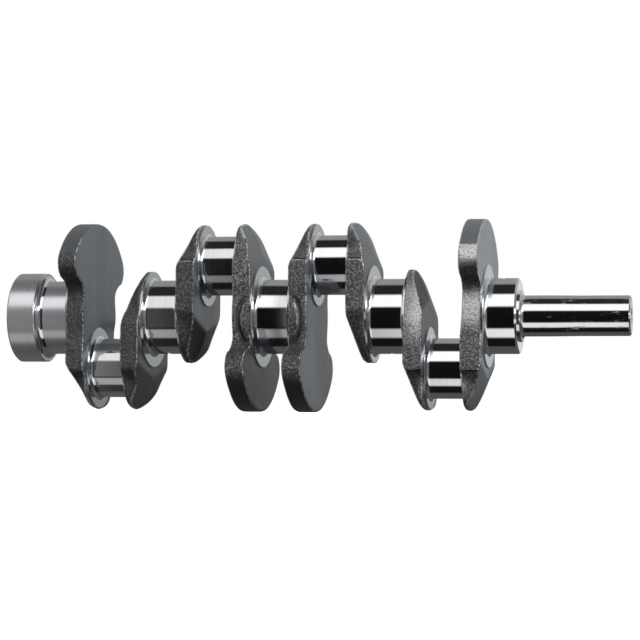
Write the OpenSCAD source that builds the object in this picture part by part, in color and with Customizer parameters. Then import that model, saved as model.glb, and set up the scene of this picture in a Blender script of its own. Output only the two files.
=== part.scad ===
// Four-throw, five-main-bearing forged crankshaft for an in-line four-cylinder engine.
// The rotation axis is X, with +X towards the nose. The throws lie in the XZ plane.
// The origin is on the axis, in the middle of the centre main journal.
// Journals, throws and webs are numbered from the nose end.
// One web is drawn once, with its main-journal face at x = 0 and its crankpin towards +Z,
// and then placed eight times.

/* [Journals] */
// Diameter of the five main journals
main_d = 60; // [56:1:64]
// Gap between the webs at a main journal
main_gap = 30.4; // [28:0.2:36]
// Diameter of the four crankpins
pin_d = 48; // [44:1:52]
// Gap between the webs at a crankpin
pin_gap = 31.2; // [28:0.2:36]
// Piston stroke, twice the throw
stroke = 83; // [78:1:88]
// Radius of the rolled fillet at each end of a journal
fillet_r = 2.5; // [1.5:0.25:3]
// Diameter of the oil drillings
oil_d = 5; // [3:0.5:6]

/* [Webs] */
// Thickness of a web along the axis
web_t = 15.2; // [14:0.2:18]
// Half width of a web beside the journals
hub_w = 41.5; // [41:0.5:44]
// Radius of the round boss at the crankpin end of a web
pin_boss_r = 33.8; // [33:0.1:35]
// Radius of the round boss at the main-journal end of a plain web
main_boss_r = 37.3; // [36:0.1:38]
// Radius of the ground thrust pad round a crankpin
pin_pad_r = 33; // [31:0.5:33]
// Radius of the ground thrust pad round a main journal
main_pad_r = 41; // [38:0.5:41]
// Height of the thrust pads above the web
pad_h = 1; // [0.5:0.1:1.5]

/* [Counterweights] */
// Radius of the turned outer arc, about the rotation axis
weight_r = 77; // [76:0.5:79]
// Radius of the rounded ears at both ends of the arc
ear_r = 13; // [12:0.5:14]
// Half width at the tips of the ears
ear_w = 61.8; // [60:0.2:63]
// Half width of the waist between the hub and the ears
waist_w = 35.5; // [34:0.5:36]
// Radius of the concave neck under an ear
neck_r = 21; // [20:0.5:23]

/* [Flange and nose] */
// Diameter of the flywheel flange, which is also the rear oil seal's track
flange_d = 73; // [72:1:80]
// Thickness of the flywheel flange
flange_t = 23.6; // [20:0.2:26]
// Length of the rear main journal, up to the flange
rear_main_len = 28.9; // [27:0.1:33]
// Length of the front main journal, up to its end face
front_main_len = 25.6; // [24:0.2:32]
// Length of the nose in front of the front main journal
nose_len = 86.9; // [80:0.1:95]
// Diameter of the timing gear's seat on the nose
gear_seat_d = 32.4; // [32:0.2:34]
// Diameter of the pulley's seat on the nose
pulley_seat_d = 31.8; // [30:0.2:31.8]
// Length of the timing gear's seat
gear_seat_len = 36; // [34:1:40]
// Diameter of the bolt hole in the nose, as drilled for its thread
nose_hole_d = 10.2; // [8.5:0.1:12]
// Pitch circle diameter of the flywheel bolts
flange_pcd = 52; // [50:1:54]
// Number of flywheel bolts
flange_bolts = 6; // [4:1:6]
// Diameter of the flywheel bolt holes, as drilled for their thread
flange_hole_d = 8.8; // [8:0.1:9]
// Diameter of the pilot bore for the gearbox input shaft
pilot_d = 22; // [18:1:24]

/* [Hidden] */
$fn = 96;

main_r = main_d / 2;
pin_r = pin_d / 2;
throw = stroke / 2;
flange_r = flange_d / 2;
chamfer = 1.5;
reach = 100;
eps = 0.01;

// Stations along the axis
pitch = main_gap + 2 * web_t + pin_gap;
pin_x = main_gap / 2 + web_t + pin_gap / 2;
front_x = 2 * pitch - main_gap / 2;
nose_x = front_x + front_main_len;
tip_x = nose_x + nose_len;
rear_x = -front_x;
flange_front_x = rear_x - rear_main_len;
flange_rear_x = flange_front_x - flange_t;

// The wedge shape of a web: the angle of each slanted edge's normal above the Y axis,
// and how far the edge passes from the crankpin's or the main journal's centre
pin_wedge_a = 51.3;
pin_wedge_r = 27;
main_wedge_a = 35.4;
main_wedge_r = 32.3;
crease_z = 44.5;
crease_step = 1.5;
pin_tip_drop = 2.3;
main_tip_z = 31.5;
main_tip_drop = 4.8;
main_shoulder_z = 5;
pin_boss_t = 5;
main_boss_t = 6;

// The bevels: slope, where the ridge starts, and how far the border runs back at the sides
pin_bevel_slope = 0.47;
pin_bevel_z = 50;
main_bevel_slope = 0.43;
main_bevel_z = 12.4;
bevel_v = 0.29;

// The hub boss on the main-journal side of a counterweighted web
lug_t = 9;
waist_top_z = 26;
waist_mid_z = 4;

// The counterweight: centres of the ear and of the concave neck, and the joint plane
ear_y = ear_w - ear_r;
ear_z = sqrt(pow(weight_r - ear_r, 2) - pow(ear_y, 2));
neck_y = waist_w + neck_r;
neck_z = ear_z - sqrt(pow(ear_r + neck_r, 2) - pow(neck_y - ear_y, 2));
split_z = main_pad_r + 1;

// The oil drillings: distance of the outer ones from the web, and how far both mouths sit off centre
oil_end_x = 13;
oil_main_y = 4;
oil_pin_y = 6;

// The front end: root collar, key and bolt hole
root_r = 20.5;
root_t = 2;
root_fillet = 2.5;
root_chamfer = 0.8;
tip_chamfer = 2;
key_w = 6;
key_r = 11;
key_depth = 9;
key_proud = 2.4;
key_top = gear_seat_d / 2 + key_proud;
key_x = nose_x + 21;
nose_hole_depth = 32;
countersink = 1.2;

// The rear end: relief groove, dowel and hole depths
relief_w = 3;
relief_depth = 1;
dowel_r = 4;
dowel_in = 10;
dowel_out = 6;
dowel_lead = 1;
dowel_a = -90;
flange_hole_depth = 20;
pilot_depth = 24;

function wedge_y(r, a, z) = (r - z * sin(a)) / cos(a);

// Height of crankpin n above the axis: the outer pair is down and the inner pair is up
function pin_z(n) = (n == 1 || n == 4) ? -throw : throw;
function pin_mid_x(n) = (n == 1 || n == 2 ? 1 : -1) * (pin_x + (n == 1 || n == 4 ? pitch : 0));

// ---------- basic solids ----------

// A round bar along +X that starts at x
module bar(x, r, len) {
    translate([x, 0, 0]) rotate([0, 90, 0]) cylinder(h = len, r = r);
}

// A round bar along +X with a chamfer at its front end
module chamfered_bar(x, r, len, c) {
    bar(x, r, len - c);
    translate([x + len - c, 0, 0]) rotate([0, 90, 0]) cylinder(h = c, r1 = r, r2 = r - c);
}

// A concave fillet round a bar of radius r, standing on the face at x and opening towards dir
module root_fillet_ring(x, r, f, dir) {
    difference() {
        bar(dir > 0 ? x : x - f, r + f, f);
        translate([x + dir * f, 0, 0]) rotate([0, 90, 0])
            rotate_extrude() translate([r + f, 0]) circle(r = f);
    }
}

// An outline in Y and Z, extruded along +X
module plate(x, len) {
    translate([x, 0, 0]) rotate([90, 0, 90]) linear_extrude(len) children();
}

// ---------- journals ----------

// One oil drilling: from the far side of a main journal, through the web, to the crankpin
module oil_drilling(n) {
    front = (n == 1 || n == 2) ? 1 : -1;
    from_x = front * (n == 1 || n == 4 ? front_x + oil_end_x : pitch);
    away = -sign(pin_z(n));
    from = [from_x, -oil_main_y, away * main_r];
    to = [pin_mid_x(n), oil_pin_y, pin_z(n) - away * pin_r];
    way = to - from;
    overrun = 6;
    translate(from)
        rotate([0, acos(way[2] / norm(way)), atan2(way[1], way[0])])
            translate([0, 0, -overrun]) cylinder(h = norm(way) + 2 * overrun, d = oil_d);
}

module journal(x0, x1, r) {
    bar(x0, r, x1 - x0);
    root_fillet_ring(x0, r, fillet_r, 1);
    root_fillet_ring(x1, r, fillet_r, -1);
}

// Main journals 2, 3 and 4, between two webs; feeds is the crankpin whose drilling starts here
module inner_main(x, feeds) {
    half = main_gap / 2 - pad_h;
    color("silver") difference() {
        journal(x - half, x + half, main_r);
        if (feeds > 0) oil_drilling(feeds);
    }
}

module front_main() {
    x0 = front_x + pad_h;
    color("silver") difference() {
        union() {
            chamfered_bar(x0, main_r, nose_x - x0, chamfer);
            root_fillet_ring(x0, main_r, fillet_r, 1);
        }
        oil_drilling(1);
    }
}

module rear_main() {
    x1 = rear_x - pad_h;
    color("silver") difference() {
        union() {
            bar(flange_front_x, main_r - relief_depth, relief_w);
            bar(flange_front_x + relief_w, main_r, x1 - flange_front_x - relief_w);
            root_fillet_ring(x1, main_r, fillet_r, -1);
        }
        oil_drilling(4);
    }
}

module crankpin(n) {
    half = pin_gap / 2 - pad_h;
    color("silver") difference() {
        translate([0, 0, pin_z(n)]) journal(pin_mid_x(n) - half, pin_mid_x(n) + half, pin_r);
        oil_drilling(n);
    }
}

// ---------- webs ----------

// Cuts away one bevel: a ridge on the centre line with a flat facet on each side of it.
// The bevel is on the face at x, which looks towards dir, and deepens towards up
module bevel(x, dir, z, up, slope) {
    for (side = [-1, 1]) {
        n = [dir, slope * bevel_v * side, slope * up];
        translate([x, 0, z * up])
            rotate([0, acos(n[2] / norm(n)), atan2(n[1], n[0])])
                translate([-reach, -reach, 0]) cube([2 * reach, 2 * reach, reach]);
    }
}

// The crankpin end of every web, and the main-journal end of a plain one
module wedge_outline(plain) {
    top_z = throw + pin_boss_r - pin_tip_drop;
    tip_w = wedge_y(pin_wedge_r, pin_wedge_a, top_z - throw);
    crease_w = wedge_y(pin_wedge_r, pin_wedge_a, crease_z - throw);
    main_tip_w = wedge_y(main_wedge_r, main_wedge_a, main_tip_z);
    plain_end = [
        [hub_w, main_shoulder_z],
        [wedge_y(main_wedge_r, main_wedge_a, 0), 0],
        [main_tip_w, -main_tip_z],
        [main_tip_w / 2, -main_tip_z - main_tip_drop]
    ];
    waist = [[hub_w, waist_top_z], [waist_w, waist_mid_z], [waist_w, -neck_z]];
    half = concat(
        [[tip_w, top_z], [crease_w, crease_z], [hub_w, crease_z - crease_step]],
        plain ? plain_end : waist
    );
    n = len(half);
    polygon(concat(half, [for (i = [n - 1:-1:0]) [-half[i][0], half[i][1]]]));
}

// From the waist to the outer arc: the ears, the concave neck under them and the disc
module weight_solid() {
    difference() {
        intersection() {
            bar(0, weight_r, web_t);
            union() {
                plate(0, web_t) translate([-ear_y, -weight_r]) square([2 * ear_y, weight_r - neck_z]);
                plate(0, web_t) translate([-ear_w, -weight_r]) square([2 * ear_w, weight_r - ear_z]);
                for (side = [-1, 1])
                    translate([0, side * ear_y, -ear_z]) bar(0, ear_r, web_t);
            }
        }
        for (side = [-1, 1])
            translate([0, side * neck_y, -neck_z]) bar(-eps, neck_r, web_t + 2 * eps);
        ear_corner();
    }
}

// Rounds the corner between the ear and the outer arc
module ear_corner() {
    a = atan2(ear_z, ear_y);
    for (side = [-1, 1])
        difference() {
            plate(-eps, web_t + 2 * eps)
                polygon([[side * ear_y, -ear_z],
                         [side * (ear_y + 2 * ear_r), -ear_z],
                         [side * (ear_y + 2 * ear_r * cos(a)), -ear_z - 2 * ear_r * sin(a)]]);
            translate([0, side * ear_y, -ear_z]) bar(-2 * eps, ear_r, web_t + 4 * eps);
        }
}

// Everything on the web's outline, before the bevels
module web_blank(plain) {
    plate(0, web_t) wedge_outline(plain);
    translate([0, 0, throw]) bar(web_t - pin_boss_t, pin_boss_r, pin_boss_t);
    if (plain) {
        bar(0, main_boss_r, main_boss_t);
    } else {
        bar(0, main_pad_r, lug_t);
        difference() {
            weight_solid();
            translate([-eps, -reach, -split_z - reach]) cube([web_t + 2 * eps, 2 * reach, reach]);
        }
    }
}

// The two ground rings that the bearings and the connecting rod run beside
module web_pads(plain) {
    translate([0, 0, throw]) bar(web_t, pin_pad_r, pad_h);
    intersection() {
        bar(-pad_h, main_pad_r, pad_h);
        if (plain) {
            union() {
                plate(-pad_h, pad_h) wedge_outline(true);
                bar(-pad_h, main_boss_r, pad_h);
            }
        } else {
            bar(-pad_h, main_pad_r, pad_h);
        }
    }
}

module web_solid(plain) {
    difference() {
        web_blank(plain);
        bevel(0, -1, pin_bevel_z, 1, pin_bevel_slope);
        if (plain) bevel(web_t, 1, main_bevel_z, -1, main_bevel_slope);
    }
    web_pads(plain);
}

// Stations of the main-journal faces of the webs, which way each crankpin lies along X,
// and which crankpin it is
function web_face(n) = (n <= 4 ? 1 : -1) * (n == 1 || n == 8 ? front_x
    : n == 2 || n == 7 ? pitch + main_gap / 2
    : n == 3 || n == 6 ? pitch - main_gap / 2 : main_gap / 2);
function web_dir(n) = (n == 2 || n == 4 || n == 6 || n == 8) ? 1 : -1;
function web_pin(n) = ceil(n / 2);
function has_weight(n) = n == 1 || n == 4 || n == 5 || n == 8;

module place_web(n) {
    translate([web_face(n), 0, 0])
        mirror([web_dir(n) < 0 ? 1 : 0, 0, 0])
            rotate([pin_z(web_pin(n)) < 0 ? 180 : 0, 0, 0])
                children();
}

module web(n) {
    drilled = n == 1 || n == 3 || n == 6 || n == 8;
    color("dimgray") difference() {
        place_web(n) web_solid(!has_weight(n));
        if (drilled) oil_drilling(web_pin(n));
    }
}

module counterweight(n) {
    color("gray") place_web(n) intersection() {
        weight_solid();
        translate([-eps, -reach, -split_z - reach]) cube([web_t + 2 * eps, 2 * reach, reach]);
    }
}

// ---------- the two ends ----------

module rear_flange() {
    color("lightsteelblue") difference() {
        union() {
            chamfered_bar(flange_rear_x + chamfer, flange_r, flange_t - chamfer, chamfer);
            translate([flange_rear_x, 0, 0]) rotate([0, 90, 0])
                cylinder(h = chamfer, r1 = flange_r - chamfer, r2 = flange_r);
        }
        bar(flange_rear_x - eps, pilot_d / 2, pilot_depth);
        for (i = [0:flange_bolts - 1])
            rotate([i * 360 / flange_bolts, 0, 0])
                translate([0, 0, flange_pcd / 2])
                    bar(flange_rear_x - eps, flange_hole_d / 2, flange_hole_depth);
        rotate([dowel_a, 0, 0])
            translate([0, 0, flange_pcd / 2]) bar(flange_rear_x - eps, dowel_r, dowel_in + eps);
    }
}

module flywheel_dowel() {
    color("gainsboro") rotate([dowel_a, 0, 0]) translate([0, 0, flange_pcd / 2]) {
        bar(flange_rear_x - dowel_out + dowel_lead, dowel_r, dowel_in + dowel_out - dowel_lead);
        translate([flange_rear_x - dowel_out, 0, 0]) rotate([0, 90, 0])
            cylinder(h = dowel_lead, r1 = dowel_r - dowel_lead, r2 = dowel_r);
    }
}

// The half-round key, seated on the side of the nose away from the near side
module key_blank() {
    intersection() {
        translate([key_x, key_top - key_depth + key_r, -key_w / 2]) cylinder(h = key_w, r = key_r);
        translate([key_x - key_r, key_top - key_depth, -key_w / 2]) cube([2 * key_r, key_depth, key_w]);
    }
}

module nose() {
    seat_end = nose_x + gear_seat_len;
    color("lightgray") difference() {
        union() {
            chamfered_bar(nose_x, root_r, root_t, root_chamfer);
            bar(nose_x, gear_seat_d / 2, gear_seat_len);
            root_fillet_ring(nose_x + root_t, gear_seat_d / 2, root_fillet, 1);
            chamfered_bar(seat_end, pulley_seat_d / 2, tip_x - seat_end, tip_chamfer);
        }
        key_blank();
        bar(tip_x - nose_hole_depth, nose_hole_d / 2, nose_hole_depth + eps);
        translate([tip_x - countersink, 0, 0]) rotate([0, 90, 0])
            cylinder(h = countersink + eps, r1 = nose_hole_d / 2, r2 = nose_hole_d / 2 + countersink);
    }
}

module nose_key() {
    color("goldenrod") key_blank();
}

rear_flange();
flywheel_dowel();
nose();
nose_key();
front_main();  // main_journal_1
inner_main(pitch, 2);  // main_journal_2
inner_main(0, 0);  // main_journal_3
inner_main(-pitch, 3);  // main_journal_4
rear_main();  // main_journal_5
crankpin(1);  // crankpin_1
crankpin(2);  // crankpin_2
crankpin(3);  // crankpin_3
crankpin(4);  // crankpin_4
web(1);  // web_1
web(2);  // web_2
web(3);  // web_3
web(4);  // web_4
web(5);  // web_5
web(6);  // web_6
web(7);  // web_7
web(8);  // web_8
counterweight(1);  // counterweight_1
counterweight(4);  // counterweight_4
counterweight(5);  // counterweight_5
counterweight(8);  // counterweight_8
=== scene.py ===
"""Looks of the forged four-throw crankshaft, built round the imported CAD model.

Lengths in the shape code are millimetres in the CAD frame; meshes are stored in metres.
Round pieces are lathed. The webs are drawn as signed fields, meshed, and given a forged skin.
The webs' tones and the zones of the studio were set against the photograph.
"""

import math

import bmesh
import bpy
import numpy as np
from mathutils import Matrix, Vector, noise


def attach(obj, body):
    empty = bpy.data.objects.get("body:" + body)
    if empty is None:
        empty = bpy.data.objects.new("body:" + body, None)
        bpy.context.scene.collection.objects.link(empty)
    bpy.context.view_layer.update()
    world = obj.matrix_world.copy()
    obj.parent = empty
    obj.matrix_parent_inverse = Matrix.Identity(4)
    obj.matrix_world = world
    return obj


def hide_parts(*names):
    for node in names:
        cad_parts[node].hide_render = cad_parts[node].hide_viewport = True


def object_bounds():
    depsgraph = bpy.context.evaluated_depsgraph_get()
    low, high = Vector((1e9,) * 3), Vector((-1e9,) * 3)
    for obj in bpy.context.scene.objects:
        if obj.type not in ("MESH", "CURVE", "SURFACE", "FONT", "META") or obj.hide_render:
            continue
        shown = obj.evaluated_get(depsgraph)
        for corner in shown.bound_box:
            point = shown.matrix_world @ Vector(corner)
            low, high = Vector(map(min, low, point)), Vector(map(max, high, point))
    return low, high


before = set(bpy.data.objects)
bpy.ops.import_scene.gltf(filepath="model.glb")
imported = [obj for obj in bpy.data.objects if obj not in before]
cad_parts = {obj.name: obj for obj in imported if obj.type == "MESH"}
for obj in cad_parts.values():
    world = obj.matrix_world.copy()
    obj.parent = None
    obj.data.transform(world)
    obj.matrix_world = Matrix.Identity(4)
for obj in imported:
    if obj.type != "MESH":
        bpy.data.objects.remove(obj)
cad_lo, cad_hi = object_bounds()
MM = 0.001
SEGMENTS = 256

# ---------- sizes, as in the CAD source ----------
MAIN_R, PIN_R, THROW, FILLET = 30.0, 24.0, 41.5, 2.5
MAIN_GAP, PIN_GAP, WEB_T, PAD = 30.4, 31.2, 15.2, 1.0
FRONT_MAIN_LEN, NOSE_LEN, REAR_MAIN_LEN, FLANGE_T = 25.6, 86.9, 28.9, 23.6
PITCH = MAIN_GAP + 2 * WEB_T + PIN_GAP
PIN_X = MAIN_GAP / 2 + WEB_T + PIN_GAP / 2
FRONT_X = 2 * PITCH - MAIN_GAP / 2
NOSE_X = FRONT_X + FRONT_MAIN_LEN
TIP_X = NOSE_X + NOSE_LEN
FLANGE_FRONT_X = -FRONT_X - REAR_MAIN_LEN
FLANGE_REAR_X = FLANGE_FRONT_X - FLANGE_T
FLANGE_R, SEAT_R, PULLEY_R, SEAT_LEN = 36.5, 16.2, 15.9, 36.0
PILOT_R, BOLT_CIRCLE_R = 11.0, 26.0
PIN_PAD_R, MAIN_PAD_R = 33.0, 41.0
OIL_R, OIL_MAIN_Y, OIL_PIN_Y, OIL_END_X = 2.5, -4, 6, 13
PIN_Z = {1: -THROW, 2: THROW, 3: THROW, 4: -THROW}
PIN_MID = {1: PIN_X + PITCH, 2: PIN_X, 3: -PIN_X, 4: -PIN_X - PITCH}
WEB_FACE = {
    1: FRONT_X,
    2: PITCH + MAIN_GAP / 2,
    3: PITCH - MAIN_GAP / 2,
    4: MAIN_GAP / 2,
}
WEIGHTED = (1, 4, 5, 8)
CREASED = (1, 2, 3, 4, 6)
LUGGED = (4, 5)
LUG_T, NO_LUG = 9.0, 30.0
HUB_W, PIN_BOSS_R, MAIN_BOSS_R = 41.5, 33.8, 37.3
PIN_WEDGE_A, PIN_WEDGE_R, MAIN_WEDGE_A, MAIN_WEDGE_R = 51.3, 27.0, 35.4, 32.3
PIN_BEVEL_Z, MAIN_BEVEL_Z, MAIN_BEVEL_SLOPE, BEVEL_V = 50.0, 12.4, 0.43, 0.29
EAR_R, EAR_W, WAIST_W, NECK_R, WEIGHT_R = 13.0, 61.8, 35.5, 21.0, 77.0

# ---------- what the visual model adds ----------
# how deep a journal's end and a ground ring sink into the web, and a ring's bore and broken edge
JOURNAL_SINK, RING_SINK, RING_BORE = 0.4, 0.5, 1.5
RING_EDGE_R, RING_EDGE_X = 0.35, 0.3
# the pilot bore ends 0.6 mm short of the CAD's, so that it stays inside the flange's piece
PILOT_DEPTH = 23.4
# web shapes that the CAD draws with flat facets: highest z, how much a round boss narrows per
# millimetre of thickness, the ledge's slanted plane, the crease's groove, and the hub's radius
WEB_TOP, BOSS_DRAFT = 73.0, 0.85
LEDGE_Y, LEDGE_Z, LEDGE_REACH = 0.581, 0.814, 59.1
CREASE_Y, CREASE_Z, CREASE_R = 39.75, 44.95, 1.3
LUG_HUB_R, HUB_R = 40.8, 41.0
# how much shallower each web's two bevels are on the camera's side of it, and on the far side
SHALLOW_PIN = {3: (0.0, 0.12), 5: (0.0, 0.2), 7: (0.0, 0.48), 8: (-0.35, 0.0)}
SHALLOW_MAIN = {2: (0.0, 0.15), 3: (0.24, 0.0), 6: (0.0, 0.36)}
# how far the crankpin end of a web flares, where it isn't 1
FLARE = {4: 0.5, 5: 0.45, 6: 0.4, 7: 0.3, 8: 0.7}
# tones: factor on the side colour, which on web 1 also paints the light from the right, strength
# of the specks, and least darkening of the edge
SIDE_TONE_AND_LIGHT = {1: 2.5, 2: 1.0, 3: 0.95, 4: 1.6, 5: 0.98, 6: 1.5, 7: 0.9, 8: 1.24}
GRIT = {1: 1.0, 2: 1.1, 3: 0.9, 4: 1.0, 5: 1.5, 6: 0.62, 7: 0.55, 8: 0.6}
DIM = {6: 0.14, 7: 0.22, 8: 0.08}
# how much of the forged skin is missing at the crankpin end, and how strongly a turned arc's
# own tone shows, where it isn't 1
SMOOTH_END = {7: 0.5, 8: 0.85}
TURNED_TONE = {1: 0.7, 8: 0.5}


# ---------- camera and studio ----------
def camera():
    """The photograph's camera: its place and turn were fitted to the outline."""
    cam = bpy.data.objects.new("Camera", bpy.data.cameras.new("Camera"))
    cam.data.lens, cam.data.sensor_width = 117.4, 36.0
    cam.data.clip_start, cam.data.clip_end = 0.05, 50.0
    cam.matrix_world = Matrix.Translation((0.39659, -1.63839, -0.07452)) @ (
        Matrix.Rotation(math.radians(12.5122), 4, "Z")
        @ Matrix.Rotation(math.radians(-0.3619), 4, "Y")
        @ Matrix.Rotation(math.radians(92.4527), 4, "X")
    )
    bpy.context.scene.collection.objects.link(cam)
    bpy.context.scene.camera = cam


class Nodes:
    """Short names for the node calls."""

    def __init__(self, tree):
        self.tree = tree
        tree.nodes.clear()

    def add(self, kind, inputs=None, **props):
        n = self.tree.nodes.new(kind)
        for k, v in props.items():
            setattr(n, k, v)
        for k, v in (inputs or {}).items():
            self.set(n, k, v)
        return n

    def set(self, n, key, v):
        s = n.inputs[key]
        if isinstance(v, bpy.types.NodeSocket):
            self.tree.links.new(v, s)
        elif isinstance(v, bpy.types.Node):
            self.tree.links.new(v.outputs[0], s)
        else:
            s.default_value = v

    def math(self, op, a, b=0.0, c=0.0):
        return self.add("ShaderNodeMath", {0: a, 1: b, 2: c}, operation=op).outputs[0]

    def ramp(self, fac, stops, mode="LINEAR"):
        n = self.add("ShaderNodeValToRGB", {0: fac})
        n.color_ramp.interpolation = mode
        e = n.color_ramp.elements
        while len(e) < len(stops):
            e.new(0.5)
        for i, (at, v) in enumerate(stops):
            e[i].position = at
            e[i].color = (v, v, v, 1) if isinstance(v, (int, float)) else (*v, 1)
        return n.outputs[0]

    def mix(self, fac, a, b):
        n = self.add("ShaderNodeMix", data_type="RGBA")
        for k, v in ((0, fac), (6, a), (7, b)):
            self.set(n, k, (*v, 1) if isinstance(v, tuple) else v)
        return n.outputs[2]

    def noise(self, vec, scale, detail=4.0, rough=0.55):
        return self.add(
            "ShaderNodeTexNoise",
            {"Vector": vec, "Scale": scale, "Detail": detail, "Roughness": rough},
        ).outputs[0]


# The studio round the crankshaft's axis: 0 degrees is the near side and 90 is up. A zone rises
# between its first two angles and falls between the last two. Its brightness depends on the
# ray's direction along the axis, from -1 to 1
ZONES = {
    "strip_above": (
        (24, 30, 64, 70),
        ((-0.36, 1.12), (-0.31, 0.98), (-0.26, 1.00), (-0.235, 1.35), (0.4, 1.5)),
    ),
    "strip_below": (
        (-74, -67, -44, -38),
        ((-0.36, 0.48), (-0.29, 0.42), (-0.26, 0.15), (-0.21, 0.42), (-0.183, 0.68),
         (-0.13, 1.05), (0.4, 1.0)),
    ),
    "front": (
        (-38, -34, 24, 28),
        ((-0.36, 0.42), (-0.335, 0.31), (-0.315, 0.16), (-0.29, 0.042), (-0.26, 0.006),
         (0.0, 0.006), (0.3, 0.12), (0.5, 0.2)),
    ),
    "ceiling": (
        (68, 72, 106, 112),
        ((-0.36, 0.30), (-0.338, 0.24), (-0.322, 0.02), (-0.26, 0.02), (0.1, 0.02), (0.4, 0.25)),
    ),
    "back_high": (
        (106, 114, 176, 182),
        ((-0.4, 0.30), (0.0, 0.36), (0.12, 0.80), (0.22, 0.52), (0.35, 0.46), (0.5, 0.5)),
    ),
    "back_low": (
        (-190, -172, -112, -104),
        ((-0.4, 0.16), (-0.3, 0.10), (0.1, 0.09), (0.5, 0.12)),
    ),
    "ground": (
        (-110, -104, -76, -70),
        ((-0.345, 0.16), (-0.31, 0.03), (-0.26, 0.008), (0.2, 0.01), (0.5, 0.05)),
    ),
}
FLOOR_HALF, FLOOR_Z = 6.0, -0.0775


def studio():
    """White to the camera, soft zones to glossy rays, and a mild sky to the rest."""
    world = bpy.data.worlds.new("Studio")
    bpy.context.scene.world = world
    world.use_nodes = True
    n = Nodes(world.node_tree)
    ray = n.add("ShaderNodeTexCoord").outputs["Generated"]
    xyz = n.add("ShaderNodeSeparateXYZ", {0: ray})
    angle = n.math("ARCTAN2", xyz.outputs[2], n.math("MULTIPLY", xyz.outputs[1], -1.0))
    turn = n.math("MULTIPLY_ADD", angle, 0.5 / math.pi, 0.5)
    along = n.math("ADD", xyz.outputs[0], 0.5)
    room = 0.0
    for edges, levels in ZONES.values():
        at = [max(0.0, min(1.0, a / 360 + 0.5)) for a in edges]
        on = [0.0, 1.0, 1.0, 0.0]
        if at[0] == 0.0:
            at, on = at[2:], [1.0, 0.0]
        if at[-1] == 1.0:
            at, on = at[:-1], on[:-1]
        window = n.ramp(turn, list(zip(at, on)))
        level = n.ramp(along, [(min(x + 0.5, 1.0), v) for x, v in levels])
        room = n.math("MULTIPLY_ADD", window, level, room)
    up = n.math("MULTIPLY_ADD", xyz.outputs[2], 0.5, 0.5)
    path = n.add("ShaderNodeLightPath")
    seen = n.add("ShaderNodeBackground", {"Color": (1, 1, 1, 1), "Strength": 1.0})
    glossy = n.add("ShaderNodeBackground", {"Color": room, "Strength": 1.0})
    sky = n.ramp(up, [(0.2, 0.06), (0.55, 0.42), (1.0, 0.9)])
    soft = n.add("ShaderNodeBackground", {"Color": (0.92, 0.96, 1.0, 1), "Strength": sky})
    lit = n.add(
        "ShaderNodeMixShader",
        {0: path.outputs["Is Glossy Ray"], 1: soft.outputs[0], 2: glossy.outputs[0]},
    )
    both = n.add(
        "ShaderNodeMixShader",
        {0: path.outputs["Is Camera Ray"], 1: lit.outputs[0], 2: seen.outputs[0]},
    )
    n.add("ShaderNodeOutputWorld", {0: both.outputs[0]})

    floor = bpy.data.meshes.new("floor")
    s = FLOOR_HALF
    floor.from_pydata([(-s, -s, 0), (s, -s, 0), (s, s, 0), (-s, s, 0)], [], [(0, 1, 2, 3)])
    floor = bpy.data.objects.new("floor", floor)
    floor.location.z = FLOOR_Z
    mat = bpy.data.materials.new("floor_pale")
    mat.use_nodes = True
    n = Nodes(mat.node_tree)
    shader = n.add(
        "ShaderNodeBsdfPrincipled",
        {"Base Color": (0.85, 0.85, 0.85, 1), "Roughness": 0.9,
         "Emission Color": (1, 1, 1, 1), "Emission Strength": 0.6},
    )
    n.add("ShaderNodeOutputMaterial", {0: shader.outputs[0]})
    floor.data.materials.append(mat)
    floor.visible_glossy = floor.visible_diffuse = False
    bpy.context.scene.collection.objects.link(floor)

    def lamp(name, at, towards, size, power, color=(1, 1, 1)):
        data = bpy.data.lights.new(name, "AREA")
        data.shape, data.size, data.size_y = "RECTANGLE", size[0], size[1]
        data.energy, data.color = power, color
        o = bpy.data.objects.new(name, data)
        o.location = at
        o.rotation_mode = "QUATERNION"
        o.rotation_quaternion = (Vector(towards) - Vector(at)).to_track_quat("-Z", "Y")
        bpy.context.scene.collection.objects.link(o)
        return o

    key = lamp("key_right", (0.56, -0.52, 0.42), (0.12, 0, 0), (0.30, 0.30), 4.2)
    key.visible_camera = False
    top = lamp("fill_top", (-0.1, -0.5, 1.2), (0, 0, 0), (1.2, 0.6), 9)
    left = lamp("fill_left", (-1.1, -0.25, 0.6), (0, 0, 0), (1.8, 1.8), 8)
    back = lamp("fill_back", (0.1, 1.3, 0.5), (0, 0, 0), (1.2, 0.8), 9)
    for o in (top, left, back):
        o.visible_glossy = o.visible_camera = False


# ---------- meshes ----------
def new_object(name, verts, faces, mat):
    me = bpy.data.meshes.new(name)
    me.from_pydata(verts, [], faces)
    me.validate()
    o = bpy.data.objects.new(name, me)
    me.materials.append(mat)
    bpy.context.scene.collection.objects.link(o)
    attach(o, "root")
    return o


def smooth(o, angle=24):
    """Smooth shading with sharp edges where the surface turns by more than the angle."""
    me = o.data
    bm = bmesh.new()
    bm.from_mesh(me)
    bmesh.ops.recalc_face_normals(bm, faces=bm.faces)
    limit = math.radians(angle)
    for e in bm.edges:
        e.smooth = not (len(e.link_faces) == 2 and e.calc_face_angle(0.0) > limit)
    for f in bm.faces:
        f.smooth = True
    bm.to_mesh(me)
    bm.free()


def fillet(cx, cr, r, a0, a1, steps=10):
    """Points of an arc in the (x, r) plane, from angle a0 to a1 in degrees."""
    out = []
    for i in range(steps + 1):
        a = math.radians(a0 + (a1 - a0) * i / steps)
        out.append((cx + r * math.cos(a), cr + r * math.sin(a)))
    return out


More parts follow.
